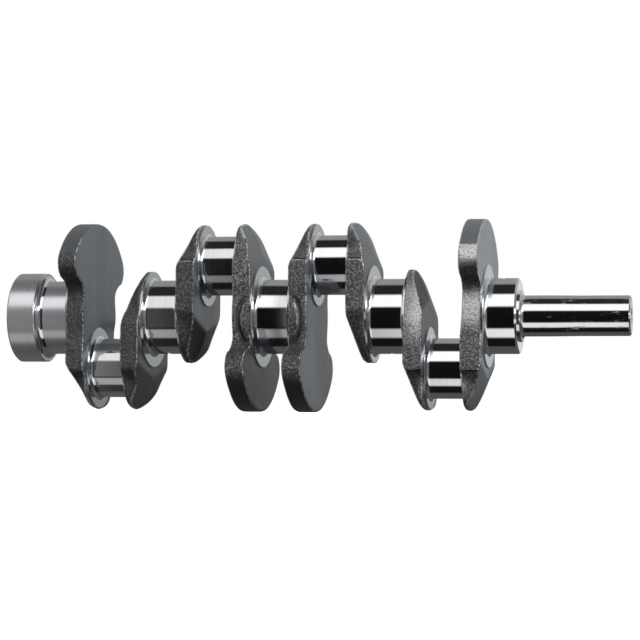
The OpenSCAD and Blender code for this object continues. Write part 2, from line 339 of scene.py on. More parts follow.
def lathe(name, profile, mat, axis_z=0.0, segments=SEGMENTS):
    """A closed solid of revolution about a line parallel to X, through z = axis_z."""
    ring = []
    verts, faces = [], []
    for x, r in profile:
        if r < 1e-6:
            verts.append((x * MM, 0.0, axis_z * MM))
            ring.append([len(verts) - 1] * segments)
            continue
        ids = []
        for k in range(segments):
            a = 2 * math.pi * (k + 0.5) / segments
            verts.append((x * MM, r * math.sin(a) * MM, (axis_z + r * math.cos(a)) * MM))
            ids.append(len(verts) - 1)
        ring.append(ids)
    for a, b in zip(ring, ring[1:] + ring[:1]):
        if a[0] == a[1] and b[0] == b[1]:
            continue
        for k in range(segments):
            k2 = (k + 1) % segments
            quad = [a[k], a[k2], b[k2], b[k]]
            quad = [v for i, v in enumerate(quad) if v not in quad[:i]]
            if len(quad) > 2:
                faces.append(quad)
    o = new_object(name, verts, faces, mat)
    smooth(o)
    return o


def cutter(profile, to_world, segments=48):
    """A round cutting tool drawn along +Z, placed by a matrix in millimetres."""
    verts, faces, ring = [], [], []
    for z, r in profile:
        ids = []
        for k in range(segments):
            a = 2 * math.pi * k / segments
            p = to_world @ Vector((r * math.cos(a), r * math.sin(a), z))
            verts.append(p * MM)
            ids.append(len(verts) - 1)
        ring.append(ids)
    for a, b in zip(ring, ring[1:]):
        for k in range(segments):
            k2 = (k + 1) % segments
            faces.append([a[k], a[k2], b[k2], b[k]])
    faces.append(ring[0][::-1])
    faces.append(ring[-1])
    me = bpy.data.meshes.new("tool")
    me.from_pydata([tuple(v) for v in verts], [], faces)
    bm = bmesh.new()
    bm.from_mesh(me)
    bmesh.ops.recalc_face_normals(bm, faces=bm.faces)
    bm.to_mesh(me)
    bm.free()
    return me


def apply_modifiers(o):
    """Replaces the piece's mesh with its evaluated one."""
    dg = bpy.context.evaluated_depsgraph_get()
    dg.update()
    made = bpy.data.meshes.new_from_object(o.evaluated_get(dg))
    o.modifiers.clear()
    old, name = o.data, o.data.name
    o.data = made
    bpy.data.meshes.remove(old)
    made.name = name


def cut(o, tools):
    """Cuts the tools out of a piece, and applies the result."""
    for me in tools:
        t = bpy.data.objects.new("tool", me)
        bpy.context.scene.collection.objects.link(t)
        m = o.modifiers.new("cut", "BOOLEAN")
        m.operation, m.solver, m.object = "DIFFERENCE", "EXACT", t
        apply_modifiers(o)
        bpy.data.objects.remove(t)
    smooth(o)


def round_normals(o, radii, axis_z=0.0):
    """Exact radial normals on the cylindrical surfaces of the given radii, in millimetres."""
    me = o.data
    normals = [Vector(c.vector) for c in me.corner_normals]
    for f in me.polygons:
        for li in f.loop_indices:
            v = me.vertices[me.loops[li].vertex_index].co
            radial = Vector((0, v.y, v.z - axis_z * MM))
            r = radial.length / MM
            if any(abs(r - q) < 0.02 for q in radii):
                radial.normalize()
                if f.normal.dot(radial) > 0.995:
                    normals[li] = radial
    me.normals_split_custom_set(normals)


def oil_tools(n):
    """The oil drilling of crankpin n with its blended mouths, as in the CAD source."""
    away = -1 if PIN_Z[n] > 0 else 1
    front = 1 if n <= 2 else -1
    from_x = front * (FRONT_X + OIL_END_X if n in (1, 4) else PITCH)
    a = Vector((from_x, OIL_MAIN_Y, away * MAIN_R))
    b = Vector((PIN_MID[n], OIL_PIN_Y, PIN_Z[n] - away * PIN_R))
    way = b - a
    turn = way.to_track_quat("Z", "Y").to_matrix().to_4x4()
    place = Matrix.Translation(a) @ turn
    length = way.length
    bore = cutter([(-6, OIL_R), (length + 6, OIL_R)], place)
    flare = [
        (-2.2, OIL_R - 0.3), (-1.3, OIL_R), (-0.5, OIL_R + 0.35), (0.1, OIL_R + 1.0),
        (0.6, OIL_R + 2.0),
    ]
    mouths = []
    for end, y, z in ((a, OIL_MAIN_Y, away * MAIN_R), (b, OIL_PIN_Y, -away * PIN_R)):
        t = Vector((0, y, z)).normalized().to_track_quat("Z", "Y").to_matrix().to_4x4()
        mouths.append(cutter(flare, Matrix.Translation(end) @ t))
    return bore, mouths


# ---------- web shapes ----------
def smax(a, b, k):
    """The larger of two fields, rounded over a width k where they meet."""
    h = np.maximum(k - np.abs(a - b), 0) / k
    return np.maximum(a, b) + h * h * k / 4


def smin(a, b, k):
    return -smax(-a, -b, k)


# centres of an ear and of the concave neck above it, as (y, z) on the side of positive y
EAR = (EAR_W - EAR_R, -math.sqrt((WEIGHT_R - EAR_R) ** 2 - (EAR_W - EAR_R) ** 2))
NECK = (
    WAIST_W + NECK_R,
    EAR[1] + math.sqrt((EAR_R + NECK_R) ** 2 - (WAIST_W + NECK_R - EAR[0]) ** 2),
)


def pin_end(x, y, z):
    """The slanted wedge at the crankpin end, drafted out to the round boss."""
    c, s = math.cos(math.radians(PIN_WEDGE_A)), math.sin(math.radians(PIN_WEDGE_A))
    slant = smax(y * c + (z - THROW) * s - PIN_WEDGE_R, z - WEB_TOP, 2.0)
    rho = np.sqrt(y * y + (z - THROW) ** 2)
    # the divisor brings the drafted field's slope back to about 1
    boss = (rho - (PIN_BOSS_R - BOSS_DRAFT * np.maximum(WEB_T - 3.0 - x, 0))) / 1.2
    return smin(slant, boss, 2.5)


def main_end(x, y, z):
    """The slanted wedge below the main journal of a plain web, drafted out to the hub."""
    c, s = math.cos(math.radians(MAIN_WEDGE_A)), math.sin(math.radians(MAIN_WEDGE_A))
    slant = y * c - z * s - MAIN_WEDGE_R
    tip = smax(0.486 * y - 0.873 * z - 35.9, -z - 36.3, 2.0)
    rho = np.sqrt(y * y + z * z)
    boss = (rho - (MAIN_BOSS_R - BOSS_DRAFT * np.maximum(x - 3.0, 0))) / 1.2
    return smin(smax(slant, tip, 3.0), boss, 2.5)


def lug_ring(x, z):
    """1 on the outline of the raised hub lug of webs 4 and 5, and more outside it."""
    return np.sqrt((x / 7.4) ** 2 + ((z + 3.5) / 15.0) ** 2)


def weight_end(x, y, z, lug_t):
    """Waist, concave neck, ear and outer arc of a counterweight."""
    t = np.clip((z - 2.0) / 26.0, 0, 1)
    waist = y - (WAIST_W + (HUB_W - WAIST_W) * t * t * (3 - 2 * t))
    ey, ez = y - EAR[0], z - EAR[1]
    ny, nz = y - NECK[0], z - NECK[1]
    ear = np.sqrt(ey * ey + ez * ez) - EAR_R
    neck = NECK_R - np.sqrt(ny * ny + nz * nz)
    disc = np.sqrt(y * y + z * z) - WEIGHT_R
    vy, vz = EAR[0] - NECK[0], EAR[1] - NECK[1]
    low = np.where(vy * nz - vz * ny > 0, ear, np.where(z < NECK[1], neck, waist))
    body = np.where(EAR[0] * z - EAR[1] * y < 0, disc, low)
    if lug_t < WEB_T:
        hub = smin(body, np.sqrt(y * y + z * z) - LUG_HUB_R, 4.0)
        return hub + 3.4 * np.exp(-(((lug_ring(x, z) - 1.34) / 0.21) ** 2)) * step_up(17, 7, z)
    hub = smax(np.sqrt(y * y + z * z) - HUB_R, x - lug_t, 2.0)
    return smin(body, hub, 5.0)


def pin_bevel(y, z):
    """Depth of the bevel on the main-journal face, beyond the crankpin; two facets in a V."""
    s = np.maximum(z - PIN_BEVEL_Z + BEVEL_V * y, -8.0)
    return 0.30 * s + 0.007 * s * s


def main_bevel(y, z):
    """Depth of the bevel on the crankpin face of a plain web, beyond the main journal."""
    return MAIN_BEVEL_SLOPE * (-z - MAIN_BEVEL_Z + BEVEL_V * y)


def web_field(p, kind, parts=False):
    """Negative inside the web, in its own frame: main-journal face at x = 0, crankpin up.

    With parts, the outline's field and the slab's field are returned apart.
    """
    weighted, creased, lug_t = kind
    x, y, z = p[:, 0], np.abs(p[:, 1]), p[:, 2]
    side = y - HUB_W - (2.0 * np.maximum(5.0 - z, 0) if weighted else 0)
    top = smax(pin_end(x, y, z), side, 2.0)
    ledge = smax(side, LEDGE_Y * y + LEDGE_Z * z - LEDGE_REACH, 0.8)
    body = smin(top, ledge, 0.3 if creased else 5.0)
    body = smax(body, weight_end(x, y, z, lug_t) if weighted else main_end(x, y, z), 2.0)
    if creased:
        groove = CREASE_R - np.sqrt((y - CREASE_Y) ** 2 + (z - CREASE_Z) ** 2)
        body = smax(body, groove, 0.35)
    near = smax(-x, (pin_bevel(y, z) - x) / 1.11, 0.5)
    far = x - WEB_T
    if not weighted:
        far = smax(far, (main_bevel(y, z) + x - WEB_T) / 1.1, 0.5)
    slab = np.maximum(near, far)
    if parts:
        return body, slab
    return smax(body, slab, 1.5)


def gradient(f, p, h=0.02):
    g = np.empty_like(p)
    for i in range(3):
        d = np.zeros(3)
        d[i] = h
        g[:, i] = (f(p + d) - f(p - d)) / (2 * h)
    return g


def surface(f, ax):
    """A closed mesh of quads on f = 0, from a grid with the given lines along each axis.

    Returns the vertices, the faces and the unit normals.
    """
    n = [len(a) for a in ax]
    grid = np.stack(np.meshgrid(*ax, indexing="ij"), -1)
    v = f(grid.reshape(-1, 3)).reshape(n)
    inside = v < 0
    m = [k - 1 for k in n]
    corner = [(i, j, k) for i in (0, 1) for j in (0, 1) for k in (0, 1)]

    def part(a, o):
        return a[o[0] : o[0] + m[0], o[1] : o[1] + m[1], o[2] : o[2] + m[2]]

    count = sum(part(inside, o).astype(int) for o in corner)
    mixed = (count > 0) & (count < 8)
    index = np.full(m, -1)
    index[mixed] = np.arange(mixed.sum())
    cells = np.argwhere(mixed)
    total = np.zeros((len(cells), 3))
    hits = np.zeros(len(cells))
    for axis in range(3):
        step = np.eye(3, dtype=int)[axis]
        for o in corner:
            if o[axis]:
                continue
            a = v[tuple((cells + o).T)]
            b = v[tuple((cells + o + step).T)]
            hit = (a < 0) != (b < 0)
            t = np.where(hit, a / np.where(hit, a - b, 1), 0)
            total[hit] += (np.array(o) + t[:, None] * step)[hit]
            hits += hit
    at = cells + total / hits[:, None]
    verts = np.stack([np.interp(at[:, i], np.arange(n[i]), ax[i]) for i in range(3)], 1)
    faces = []
    for axis in range(3):
        u, w = (axis + 1) % 3, (axis + 2) % 3
        a = inside.take(range(n[axis] - 1), axis)
        b = inside.take(range(1, n[axis]), axis)
        for e in np.argwhere(a != b):
            if e[u] == 0 or e[w] == 0:
                continue
            q = []
            for du, dw in ((1, 1), (0, 1), (0, 0), (1, 0)):
                c = e.copy()
                c[u] -= du
                c[w] -= dw
                q.append(index[tuple(c)])
            faces.append(q if a[tuple(e)] else q[::-1])
    faces = np.array(faces)
    # vertices are brought back to f = 0 in every turn, and evened out along it in the first three
    for turn in range(6):
        for _ in range(2):
            g = gradient(f, verts)
            verts -= g * (f(verts) / np.maximum((g * g).sum(1), 1e-6))[:, None]
        if turn < 3:
            g /= np.maximum(np.linalg.norm(g, axis=1), 1e-6)[:, None]
            near = np.zeros_like(verts)
            deg = np.zeros(len(verts))
            for i in range(4):
                a, b = faces[:, i], faces[:, (i + 1) % 4]
                np.add.at(near, a, verts[b])
                np.add.at(near, b, verts[a])
                np.add.at(deg, a, 1)
                np.add.at(deg, b, 1)
            d = near / deg[:, None] - verts
            verts += 0.5 * (d - g * (d * g).sum(1)[:, None])
    g = gradient(f, verts)
    return verts, faces, g / np.linalg.norm(g, axis=1)[:, None]


def step_up(a, b, v):
    """From 0 at a to 1 at b, smoothly. With a above b it falls as v grows."""
    t = np.clip((v - a) / (b - a), 0, 1)
    return t * t * (3 - 2 * t)


BASES = {}


def web_kind(n):
    """Whether web n has a counterweight and a crease, and how thick its hub lug is."""
    return n in WEIGHTED, n in CREASED, LUG_T if n in LUGGED else NO_LUG


def lines(stops, steps):
    """Grid lines between the stops, with the given step in each span."""
    out = [stops[0]]
    for a, b, h in zip(stops, stops[1:], steps):
        k = max(1, round((b - a) / h))
        out += [a + (b - a) * (i + 1) / k for i in range(k)]
    return np.array(out)


def web_base(kind):
    """The mesh that all webs of one kind start from."""
    if kind not in BASES:
        weighted, creased, lug_t = kind
        h = 1.25
        fine = 0.65 if creased else h
        w, low = (63.0, -78.3) if weighted else (43.0, -37.6)
        # with these steps, the saddle in the groove round a lug lies off the grid planes
        x_step, y_step = (0.9, 1.1) if lug_t < WEB_T else (1.25, h)
        x = lines((-1.1, 1.5, WEB_T - 1.5, WEB_T + 1.1), (0.6, x_step, 0.6))
        y = lines((-w, -42.2, -37.6, 37.6, 42.2, w), (h, fine, y_step, fine, h))
        z = lines((low, 42.2, 46.8, 76.0), (h, fine, h))
        BASES[kind] = surface(lambda p: web_field(p, kind), (x, y, z))
    return BASES[kind]


def web_place(n):
    """Matrix from the web's own frame to the CAD frame, in millimetres."""
    side = 1 if n <= 4 else -1
    face = WEB_FACE[min(n, 9 - n)]
    dx = 1 if n % 2 == 0 else -1
    up = 1 if PIN_Z[(n + 1) // 2] > 0 else -1
    return np.diag([dx, up, up]).astype(float), np.array([side * face, 0, 0]), dx


def reshape(n, verts, up):
    """The unevenness of each forging: bevels, shoulders and flare that differ from web to web."""
    x, y, z = verts[:, 0], np.abs(verts[:, 1]), verts[:, 2]
    far = step_up(-12, 18, up * verts[:, 1])
    near = step_up(18, -12, up * verts[:, 1])

    def shallower(t, deep, a, b):
        """A thickness t beside a bevel that is this deep in the CAD, with the web's own depth."""
        return t * (WEB_T - deep * (1 - a * near - b * far)) / (WEB_T - deep)

    a, b = SHALLOW_PIN.get(n, (0, 0))
    deep = np.clip(pin_bevel(y, z), 0, WEB_T - 2)
    x = WEB_T - shallower(WEB_T - x, deep, a, b * (1.3 * step_up(78, 56, z)))
    if n not in WEIGHTED:
        a, b = SHALLOW_MAIN.get(n, (0, 0))
        deep = np.clip(main_bevel(y, z), 0, WEB_T - 2)
        x = shallower(x, deep, a, b * (1.3 * step_up(-41, -24, z)))
    if n == 7:
        dent = 0.13 * np.exp(-(((z + 4.0) / 9.0) ** 2)) * step_up(-10, -36, up * verts[:, 1])
        x = x * (1 - dent)
    if n == 8:
        x = x * (1 + 0.06 * far * step_up(12, 0, z))
    if n == 1:
        x = x * (1 + 0.11 * near * step_up(-4, 20, z) * step_up(33, 39, np.hypot(y, z - THROW)))
    wide = 0.0014 * np.maximum(z - 46, 0) ** 2 * FLARE.get(n, 1.0)
    return np.stack([x, verts[:, 1] * (1 + wide), z], 1)


def finishes(n, verts, normal):
    """Where each finish, painted highlight and painted shade lies on web n: one weight per vertex
    for each that the material reads.
    """
    kind = web_kind(n)
    weighted, creased, _ = kind
    x, y, z = verts[:, 0], np.abs(verts[:, 1]), verts[:, 2]
    turn, _, dx = web_place(n)
    near_side = turn[1, 1] * verts[:, 1] < 0
    right = (x if dx > 0 else WEB_T - x) / WEB_T
    body, slab = web_field(verts, kind, parts=True)
    skin = 1 - step_up(0.70, 0.86, np.abs(normal[:, 0]))
    # the rims between the forged edge and the sides: a polished line with a painted highlight on
    # it
    rim_polish_and_highlight = step_up(-1.1, -0.35, body) * step_up(-1.1, -0.35, slab)

    # the turned outer arc of a counterweight
    turned = np.zeros(len(verts))
    if weighted:
        start, full = (52.8, 53.5) if n == 1 else (49, 53)
        turned = step_up(start, full, -z) * (np.hypot(y, z) > WEIGHT_R - 3)
    rough = skin * (1 - 0.92 * turned)
    rough *= 1 - SMOOTH_END.get(n, 0.0) * step_up(43, 47, z)
    turned *= TURNED_TONE.get(n, 1.0)

    # painted highlights: light patches on the edges of webs 1 and 2, where the light from the
    # right falls
    painted_highlight_patch = np.zeros(len(verts))
    if n == 1:
        painted_highlight_patch = step_up(-26, -8, z) * step_up(16, 2, z)
        painted_highlight_patch = painted_highlight_patch + step_up(-53.8, -53.2, z) * step_up(-34, -46, z)
    if n == 2:
        painted_highlight_patch = step_up(-36, -16, z) * step_up(30, 4, z) * step_up(-0.3, 0.8, right)

    # painted shade in the groove round a lug, in the crease and on web 8's slanted edge, which
    # faces down, and darker necks
    painted_shade_and_tone = np.zeros(len(verts))
    if n in LUGGED:
        ring = lug_ring(x, z)
        painted_shade_and_tone = 0.85 * np.exp(-(((ring - 1.38) / 0.2) ** 2)) * step_up(17, 7, z)
        # a painted highlight on the lip of the lug
        lip = 0.8 * np.exp(-(((ring - 1.08) / 0.07) ** 2))
        rim_polish_and_highlight = np.maximum(rim_polish_and_highlight, lip * step_up(14, 6, z) * step_up(-18, -8, z))
    if creased:
        painted_shade_and_tone = np.maximum(painted_shade_and_tone, step_up(1.9, 0.9, np.hypot(y - 39.6, z - 44.9)))
        # a painted highlight along the crease's lower lip, which faces the light
        rim_polish_and_highlight = np.maximum(rim_polish_and_highlight, 0.9 * step_up(1.1, 0.5, np.hypot(y - 40.6, z - 43.7)))
    if weighted:
        painted_shade_and_tone = np.maximum(painted_shade_and_tone, 0.5 * step_up(-43, -35, z) * step_up(-14, -24, z))
    if n == 8:
        painted_shade_and_tone = np.maximum(painted_shade_and_tone, 0.62 * step_up(43, 46, z))
        rim_polish_and_highlight *= step_up(66, 58, -z)
    if n == 3:
        # the painted highlight made stronger at the end of web 3's ledge
        rim_polish_and_highlight += 1.4 * rim_polish_and_highlight * step_up(33, 36, z) * step_up(46, 44, z) * step_up(6, 3, x)
    # darker forged edges on webs 6, 7 and 8
    painted_shade_and_tone = np.maximum(painted_shade_and_tone, DIM.get(n, 0.0))

    # painted shade on the facets of web 6's crankpin face, which turn away from the light, and
    # darker facets on web 2
    facet = np.zeros(len(verts))
    if n in (2, 6):
        outer = step_up(9, 12, x + MAIN_BEVEL_SLOPE * np.maximum(-z - 12, 0))
        facet = step_up(0.0, 1.0, main_bevel(y, z)) * outer
        facet *= 1.08 if n == 2 else np.where(near_side, 0.85, 0.1)
    return {
        "skin": rough,
        "turned": turned * skin,
        "rim_polish_and_highlight": rim_polish_and_highlight,
        "painted_highlight_patch": painted_highlight_patch * skin,
        "painted_shade_and_tone": painted_shade_and_tone * skin + facet * (1 - skin),
        "grit": np.full(len(verts), GRIT[n]),
        "side_tone_and_light": np.full(len(verts), SIDE_TONE_AND_LIGHT[n]),
    }


def skin_shift(n, verts, rough, right, flat):
    """How far the forged skin stands off the drawn shape at each vertex."""
    apart = Vector((31.7 * n, 0, 0))  # gives each web its own part of the noise
    crown = 1.5 if n in (1, 2) else 0.5
    shift = np.zeros(len(verts))
    for i, (v, r) in enumerate(zip(verts, rough)):
        p = Vector(v) + apart
        s = 0.10 * (noise.noise(p * 0.075) - 0.35)
        if r > 0.02:
            s += r * (0.26 * noise.noise(p * 0.36) + 0.22 * noise.noise(p * 0.75) - 0.16)
            s -= r * crown * right[i] ** 2 * (1 if flat[i] < 0.5 else 0)
        shift[i] = s
    return shift


def forging(n, mat):
    """One web with its counterweight: smooth sides, rough forged edge faces."""
    verts, faces, normal = web_base(web_kind(n))
    turn, move, dx = web_place(n)
    weights = finishes(n, verts, normal)
    right = (verts[:, 0] if dx > 0 else WEB_T - verts[:, 0]) / WEB_T
    shift = skin_shift(n, verts, weights["skin"], right, np.abs(normal[:, 0]))
    verts = reshape(n, verts, turn[1, 1]) + normal * shift[:, None]
    verts = np.clip(verts @ turn.T + move, np.array(cad_lo) / MM, np.array(cad_hi) / MM)
    if dx < 0:
        faces = faces[:, ::-1]
    o = new_object("forging_web_%d" % n, (verts * MM).tolist(), faces.tolist(), mat)
    me = o.data
    me.shade_smooth()
    for name, values in weights.items():
        a = me.attributes.new(name, "FLOAT", "POINT")
        a.data.foreach_set("value", values.astype(np.float32))
    return o


def directions():
    """Unit vectors round the axis, one for each step of a ring."""
    for k in range(SEGMENTS):
        a = 2 * math.pi * k / SEGMENTS
        yield np.array([0.0, math.sin(a), math.cos(a)])


def clipped_rims():
    """The outline of the ring round a main journal, cut off where a plain web is narrower."""
    r = np.linspace(MAIN_R, MAIN_PAD_R, 441)
    for d in directions():
        p = r[:, None] * d
        p[:, 0] = 2.0
        plain = web_field(p, (False, False, 0))
        ok = r[plain < -0.25]
        yield d, ok.max() if len(ok) else MAIN_R + 1


def main_ring(n, rims, mat):
    """The ground ring round a main journal, on the face of web n."""
    turn, move, _ = web_place(n)
    bore = MAIN_R + RING_BORE
    verts, faces = [], []
    for d, r in rims:
        for x, q in (
            (RING_SINK, bore), (-PAD, bore), (-PAD, r - RING_EDGE_R), (-PAD + RING_EDGE_X, r),
            (RING_SINK, r),
        ):
            verts.append(turn @ (d * q + np.array([x, 0, 0])) + move)
    for k in range(SEGMENTS):
        for i in range(5):
            a, b = 5 * k + i, 5 * k + (i + 1) % 5
            c, e = 5 * ((k + 1) % SEGMENTS) + (i + 1) % 5, 5 * ((k + 1) % SEGMENTS) + i
            faces.append([a, b, c, e])
    o = new_object("pad_main_%d" % n, [tuple(v * MM) for v in verts], faces, mat)
    smooth(o)
    return o


# ---------- materials ----------
def material(name):
    mat = bpy.data.materials.new(name)
    mat.use_nodes = True
    n = Nodes(mat.node_tree)
    place = n.add("ShaderNodeTexCoord").outputs["Object"]
    return mat, n, place


def finish_material(n, inputs, height, distance, strength):
    """Adds the bump, the shader and the output."""
    bump = n.add("ShaderNodeBump", {"Height": height, "Distance": distance, "Strength": strength})
    inputs = dict(inputs, Normal=bump.outputs[0])
    shader = n.add("ShaderNodeBsdfPrincipled", inputs)
    n.add("ShaderNodeOutputMaterial", {0: shader.outputs[0]})


def stretched(n, place, scale):
    return n.add("ShaderNodeMapping", {"Vector": place, "Scale": scale}).outputs[0]


def forged_material():
    """Forged edges, milled sides and turned arcs in one material, told apart by the weights, with
    painted highlights and painted shade.
    """
    mat, n, place = material("forged_steel")

    def weight(name):
        return n.add("ShaderNodeAttribute", attribute_name=name).outputs["Fac"]

    skin, turned, rim_polish_and_highlight, painted_highlight_patch, painted_shade_and_tone, grit, side_tone_and_light = (
        weight(a) for a in ("skin", "turned", "rim_polish_and_highlight", "painted_highlight_patch", "painted_shade_and_tone", "grit", "side_tone_and_light"))
    grain = n.noise(place, 740.0, 3.0, 0.65)
    fine = n.noise(place, 1800.0, 2.0, 0.6)
    cloud = n.noise(place, 45.0, 3.0, 0.5)
    speck = n.math("MULTIPLY", n.ramp(grain, [(0.48, 0.0), (0.74, 0.9)]), grit)
    pit = n.ramp(grain, [(0.30, 0.75), (0.47, 0.0)])
    dark = n.mix(cloud, (0.040, 0.038, 0.040), (0.082, 0.077, 0.079))
    # the painted highlight patches lighten the edge's dark tone and its specks
    dark = n.mix(painted_highlight_patch, dark, (0.42, 0.41, 0.40))
    dark = n.mix(n.math("MULTIPLY", pit, grit), dark, (0.018, 0.018, 0.019))
    edge = n.mix(speck, dark, n.mix(painted_highlight_patch, (0.33, 0.325, 0.33), (0.58, 0.57, 0.56)))
    side = n.mix(cloud, (0.092, 0.103, 0.112), (0.122, 0.135, 0.145))
    side = n.mix(n.ramp(fine, [(0.45, 0.0), (0.75, 0.35)]), side, (0.18, 0.195, 0.205))
    # the side colour scaled per web: its own tone, and on web 1 painted light
    side = n.add("ShaderNodeVectorMath", {0: side, "Scale": side_tone_and_light}, operation="SCALE").outputs[0]
    arc = n.mix(cloud, (0.050, 0.050, 0.052), (0.075, 0.076, 0.08))
    colour = n.mix(turned, n.mix(skin, side, edge), arc)
    # a broken line on the rims: polished, more metallic and less rough, with a painted highlight
    # in its pale colour
    broken = n.ramp(n.noise(place, 420.0, 2.0, 0.6), [(0.42, 0.0), (0.58, 1.0)])
    line = n.math("MULTIPLY", n.math("MINIMUM", rim_polish_and_highlight, 1.0), n.math("MULTIPLY", broken, 0.95))
    whole = n.math("MAXIMUM", n.math("SUBTRACT", rim_polish_and_highlight, 1.0), 0.0)
    line = n.math("MINIMUM", n.math("ADD", line, whole), 1.0)
    # painted shade and the darker tones, mixed towards near black
    colour = n.mix(n.math("MULTIPLY", painted_shade_and_tone, 0.88), colour, (0.012, 0.012, 0.013))
    colour = n.mix(line, colour, (0.75, 0.75, 0.75))
    mark = n.math("MULTIPLY", speck, skin)
    rough = n.math("MULTIPLY_ADD", skin, 0.14, 0.36)
    rough = n.math("MULTIPLY_ADD", mark, -0.16, rough)
    rough = n.math("MULTIPLY_ADD", line, -0.12, rough)
    height = n.math("ADD", n.math("MULTIPLY", grain, skin), n.math("MULTIPLY", fine, 0.06))
    metal = n.math("MAXIMUM", n.math("MULTIPLY_ADD", mark, 0.3, 0.55), line)
    inputs = {"Base Color": colour, "Roughness": rough, "Metallic": metal}
    finish_material(n, inputs, height, 0.0011, 1.0)
    return mat


def ground_material(name, base, rough, bands, marks, distance, scuffs=0.0):
    """Cylindrically ground steel: fine rings round the axis, a little unevenness, and scuffs."""
    mat, n, place = material(name)
    rings = n.noise(stretched(n, place, (5200.0, 12.0, 12.0)), 1.0, 3.0, 0.6)
    wide = n.noise(stretched(n, place, (420.0, 6.0, 6.0)), 1.0, 3.0, 0.5)
    smear = n.noise(place, 55.0, 4.0, 0.6)
    colour = n.mix(wide, tuple(c * 0.86 for c in base), base)
    r = n.math("MULTIPLY_ADD", wide, bands, rough)
    r = n.math("MULTIPLY_ADD", smear, marks, r)
    scuff = n.noise(stretched(n, place, (60.0, 330.0, 330.0)), 1.0, 5.0, 0.7)
    scuff = n.ramp(scuff, [(0.56, 0.0), (0.66, 1.0)])
    r = n.math("MULTIPLY_ADD", scuff, scuffs, r)
    height = n.math("ADD", rings, n.math("MULTIPLY", smear, 0.5))
    inputs = {"Base Color": colour, "Metallic": 1.0, "Roughness": r}
    finish_material(n, inputs, height, distance, 0.6)
    return mat


def faced_material(name, base, rough):
    """Machined flat rings: a fine speckle and a slight unevenness in tone."""
    mat, n, place = material(name)
    speckle = n.noise(place, 900.0, 2.0, 0.5)
    cloud = n.noise(place, 60.0, 3.0, 0.5)
    colour = n.mix(cloud, tuple(c * 0.93 for c in base), base)
    r = n.math("MULTIPLY_ADD", cloud, 0.05, rough)
    inputs = {"Base Color": colour, "Metallic": 1.0, "Roughness": r}
    finish_material(n, inputs, speckle, 0.000003, 0.5)
    return mat


# ---------- the pieces ----------
camera()
studio()
forged = forged_material()
ground = ground_material(
    "ground_steel", (0.80, 0.80, 0.82), rough=0.03, bands=0.04, marks=0.04, distance=0.000003
)
turned = ground_material(
    "turned_steel", (0.74, 0.75, 0.77), rough=0.20, bands=0.08, marks=0.04, distance=0.00001
)
polished = ground_material(
    "polished_steel", (0.78, 0.77, 0.78), rough=0.04, bands=0.05, marks=0.05, distance=0.000005,
    scuffs=0.30,
)
hard = ground_material(
    "hardened_steel", (0.42, 0.42, 0.43), rough=0.28, bands=0.1, marks=0.1, distance=0.00002
)
pad_steel = faced_material("pad_steel", (0.56, 0.60, 0.61), 0.17)

round_rims = [(d, MAIN_PAD_R) for d in directions()]
plain_rims = list(clipped_rims())
for n in range(1, 9):
    web = forging(n, forged)
    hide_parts("web_%d" % n)
    if n in WEIGHTED:
        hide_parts("counterweight_%d" % n)
    pad = main_ring(n, round_rims if n in WEIGHTED else plain_rims, pad_steel)
    _, move, dx = web_place(n)
    face = move[0] + dx * WEB_T
    x_out, x_in, inner = face + dx * PAD, face - dx * RING_SINK, PIN_R + RING_BORE
    pad = lathe(
        "pad_pin_%d" % n,
        [(x_in, inner), (x_out, inner), (x_out, PIN_PAD_R - RING_EDGE_R),
         (x_out - dx * RING_EDGE_X, PIN_PAD_R), (x_in, PIN_PAD_R)],
        pad_steel,
        PIN_Z[(n + 1) // 2],
    )


def journal_profile(x0, x1, r):
    """Bar between two faces with a rolled fillet at each end; its ends sink into the webs."""
    return (
        [(x0 - JOURNAL_SINK, 0.0), (x0 - JOURNAL_SINK, r + FILLET)]
        + fillet(x0 + FILLET, r + FILLET, FILLET, 180, 270)
        + fillet(x1 - FILLET, r + FILLET, FILLET, 270, 360)
        + [(x1 + JOURNAL_SINK, r + FILLET), (x1 + JOURNAL_SINK, 0.0)]
    )


half = PIN_GAP / 2 - PAD
for n, x in PIN_MID.items():
    profile = journal_profile(x - half, x + half, PIN_R)
    o = lathe("ground_crankpin_%d" % n, profile, ground, PIN_Z[n])
    bore, mouths = oil_tools(n)
    cut(o, [bore, mouths[1]])
    round_normals(o, (PIN_R,), PIN_Z[n])
    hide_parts("crankpin_%d" % n)

half = MAIN_GAP / 2 - PAD
for n, x, feeds in ((2, PITCH, 2), (3, 0.0, None), (4, -PITCH, 3)):
    o = lathe("ground_main_%d" % n, journal_profile(x - half, x + half, MAIN_R), ground)
    if feeds:
        bore, mouths = oil_tools(feeds)
        cut(o, [bore, mouths[0]])
        round_normals(o, (MAIN_R,))
    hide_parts("main_journal_%d" % n)

# front main journal
x0 = FRONT_X + PAD
o = lathe(
    "ground_main_1",
    [(x0 - JOURNAL_SINK, 0.0), (x0 - JOURNAL_SINK, MAIN_R + FILLET)]
    + fillet(x0 + FILLET, MAIN_R + FILLET, FILLET, 180, 270)
    + [(NOSE_X - 1.5, MAIN_R), (NOSE_X, MAIN_R - 1.5), (NOSE_X, 0.0)],
    ground,
)
bore, mouths = oil_tools(1)
cut(o, [bore, mouths[0]])
round_normals(o, (MAIN_R,))
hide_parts("main_journal_1")

